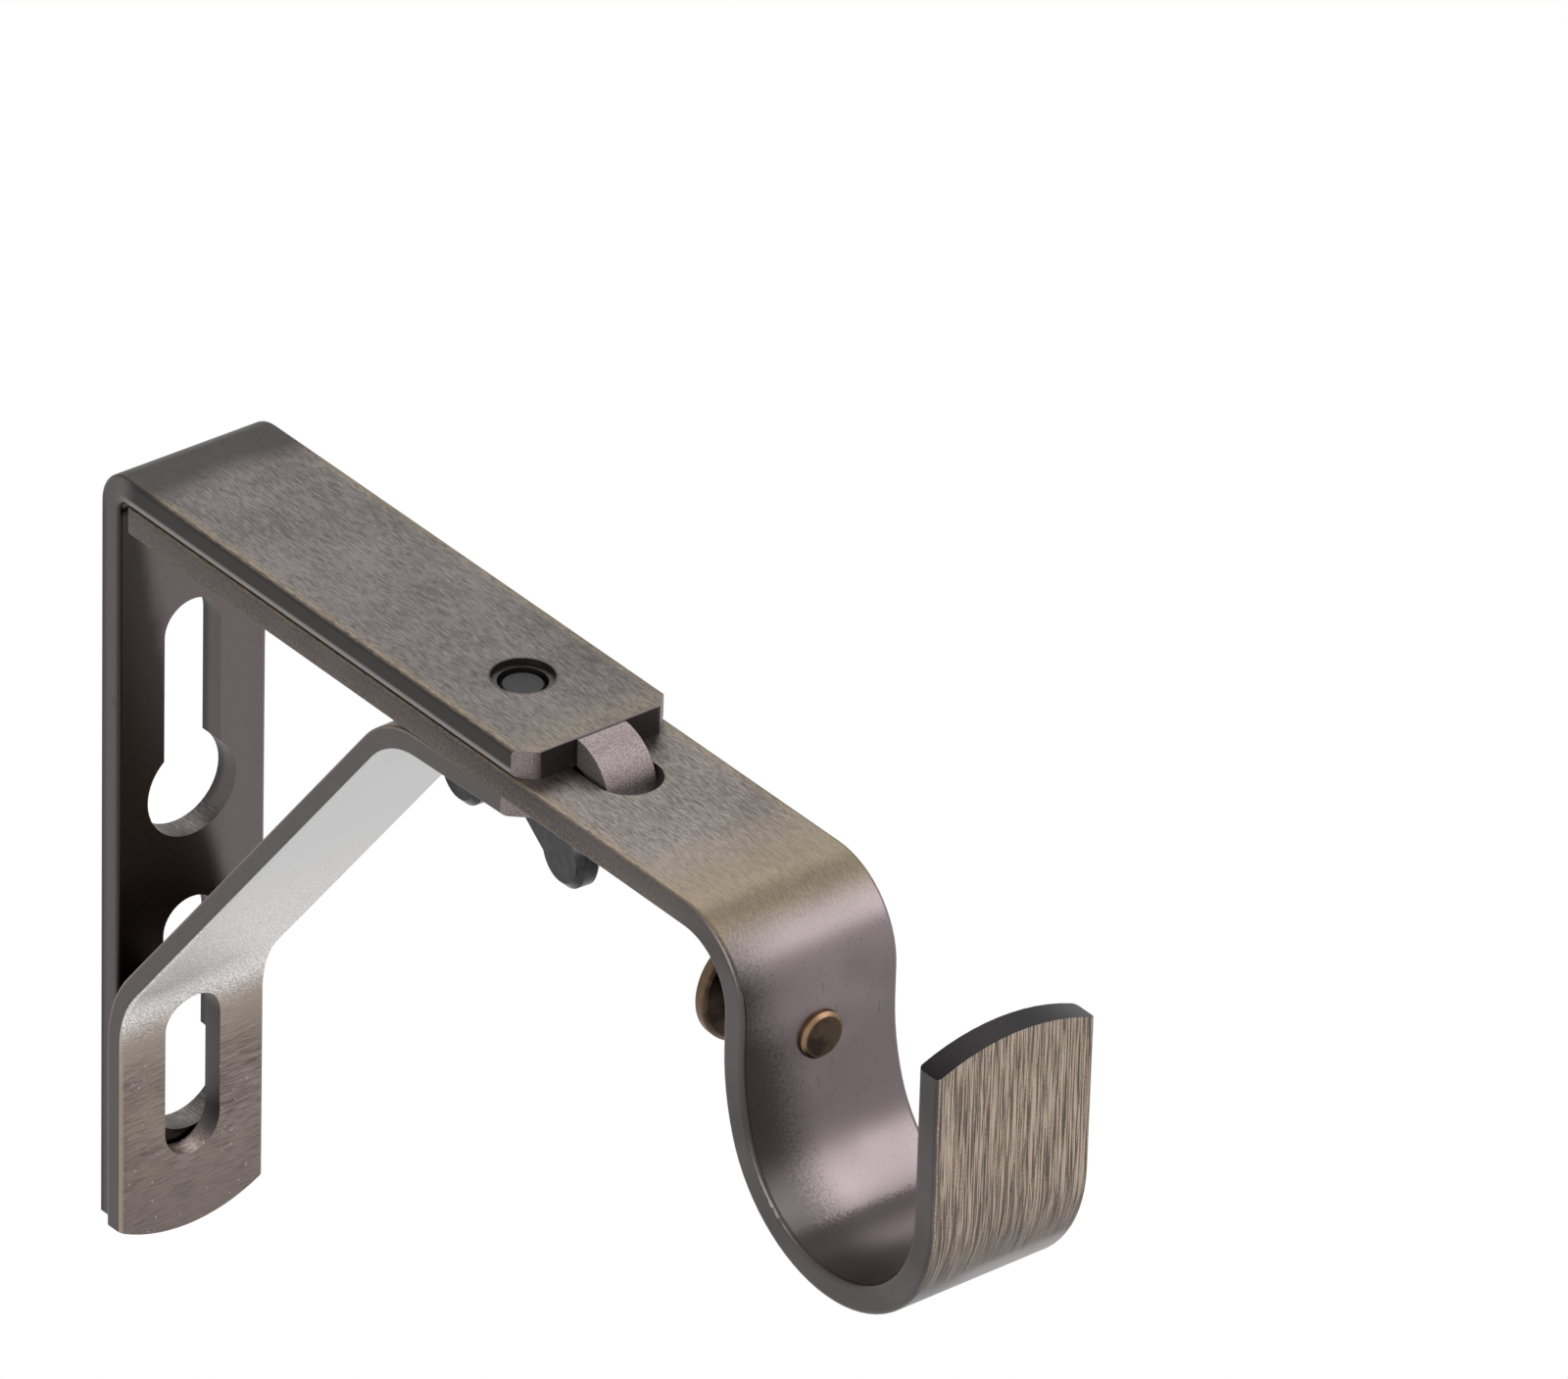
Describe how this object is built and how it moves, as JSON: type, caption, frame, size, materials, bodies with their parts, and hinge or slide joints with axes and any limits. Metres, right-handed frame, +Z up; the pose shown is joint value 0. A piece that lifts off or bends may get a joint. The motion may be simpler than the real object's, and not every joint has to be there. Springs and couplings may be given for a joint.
{
  "type": "curtain pole bracket",
  "caption": "Extending curtain pole bracket: bent wall bracket with keyholes, sliding hook arm with a round cup, diagonal brace, lock screw and pole screw.",
  "frame": {"origin": "on the wall plate's back face, midway between its two keyholes", "axes": "+X away from the wall along the arm, +Y along the pole, +Z up"},
  "size_m": [0.132, 0.0205, 0.0892],
  "materials": {
    "bracket_plating": "antique bronze plating, brushed along the strip, dark in the hollows and golden where it is rubbed",
    "hook_plating": "antique bronze plating, brushed on the flats and smooth with a mauve sheen in the stem and cup",
    "brace_plating": "antique bronze plating, brushed along the strip, with bare grey cut edges",
    "black_screw": "glossy black oxide",
    "brass_screw": "aged brass, a little dull"
  },
  "bodies": {
    "bracket": {"wall_bracket": "bracket_plating", "brace": "brace_plating"},
    "arm": {"hook_arm": "hook_plating"},
    "lock": {"lock_screw": "black_screw"},
    "thumb": {"pole_screw": "brass_screw"}
  },
  "joints": [
    {"name": "arm_slide", "type": "slide", "parent": "bracket", "child": "arm", "axis": [1, 0, 0], "range_m": [0, 0.038]},
    {"name": "lock_screw_turn", "type": "hinge", "parent": "bracket", "child": "lock", "pos_m": [0.0563, 0, 0.0436], "axis": [0, 0, 1], "range_deg": [-450, 0]},
    {"name": "pole_screw_turn", "type": "hinge", "parent": "arm", "child": "thumb", "pos_m": [0.10145, 0, 0.0321], "axis": [1, 0, 0], "range_deg": [-720, 0]}
  ]
}
